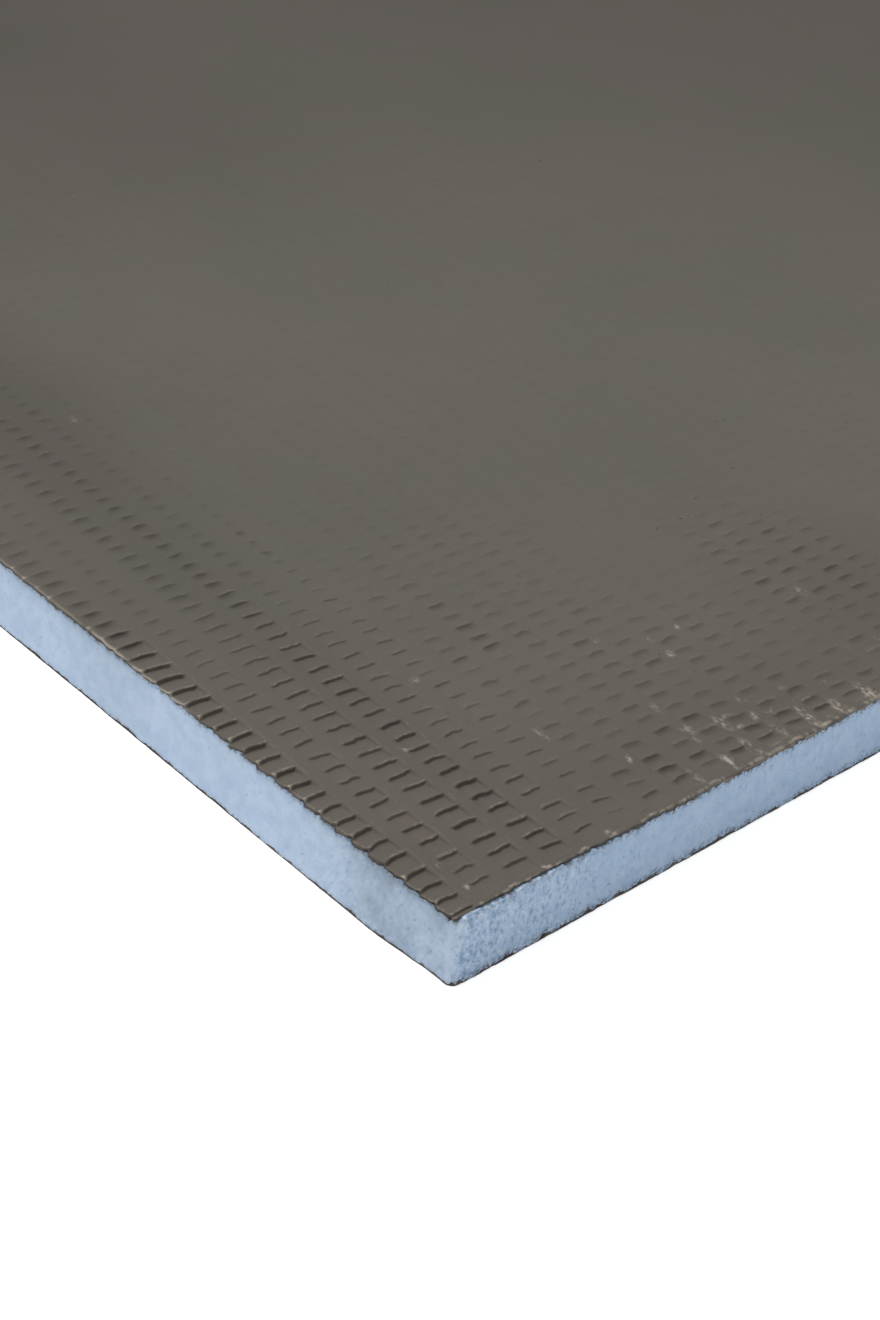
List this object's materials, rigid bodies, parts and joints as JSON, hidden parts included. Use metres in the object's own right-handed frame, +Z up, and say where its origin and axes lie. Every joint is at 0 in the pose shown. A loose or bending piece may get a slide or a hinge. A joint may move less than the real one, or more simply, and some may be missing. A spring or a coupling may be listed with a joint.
{
  "type": "cement-coated extruded polystyrene tile backer board",
  "caption": "Flat insulating backer board: a light blue foam core between two thin grey mesh-reinforced cement coats, cut square to take tiles or render.",
  "frame": {"origin": "middle of the underside, on the back coat's flat face", "axes": "+X along the length, +Y across the width, +Z up through the thickness, out of the tile side"},
  "size_m": [1.2, 0.6, 0.01],
  "materials": {
    "foam": "light blue closed-cell foam, sawn",
    "cement_coat": "matt grey-brown polymer cement trowelled over woven glass mesh"
  },
  "bodies": {
    "root": {"foam_core": "foam", "top_coating": "cement_coat", "bottom_coating": "cement_coat"}
  },
  "joints": []
}
